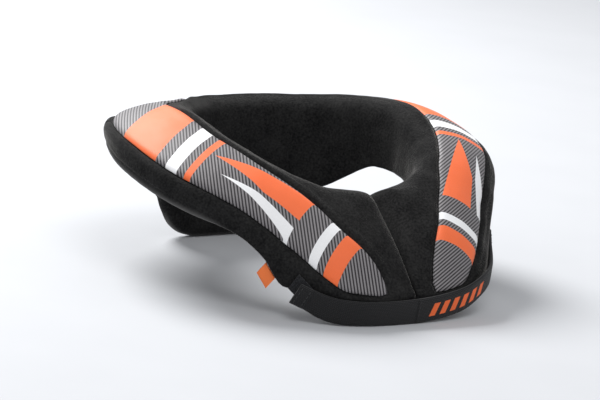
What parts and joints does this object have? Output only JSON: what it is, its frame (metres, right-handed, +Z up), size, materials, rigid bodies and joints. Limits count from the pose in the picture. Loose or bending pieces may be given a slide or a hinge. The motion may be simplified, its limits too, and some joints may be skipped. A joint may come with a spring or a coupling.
{
  "type": "karting neck roll",
  "caption": "Padded youth karting neck roll: C-shaped foam collar split at the front, printed side panels, a back flap, a chest strap that closes on a pile tab, and a ribbon pull tab.",
  "frame": {"origin": "on the resting surface, under the middle of the collar's outline", "axes": "+Z up; the front with the split and the strap faces -Y; the wearer's left is +X"},
  "size_m": [0.2716, 0.2544, 0.1065],
  "materials": {
    "fleece": "black brushed knit over foam, matte",
    "printed_cloth": "smooth printed cloth: grey pinstripes with orange and white racing stripes",
    "webbing": "black woven webbing",
    "loop_pile": "dark grey looped pile",
    "ribbon": "orange woven ribbon"
  },
  "bodies": {
    "root": {"collar_pad": "fleece", "right_panel": "printed_cloth", "left_panel": "printed_cloth", "back_flap": "fleece", "front_strap": "webbing", "closure_tab": "loop_pile", "pull_tab": "ribbon"}
  },
  "joints": []
}
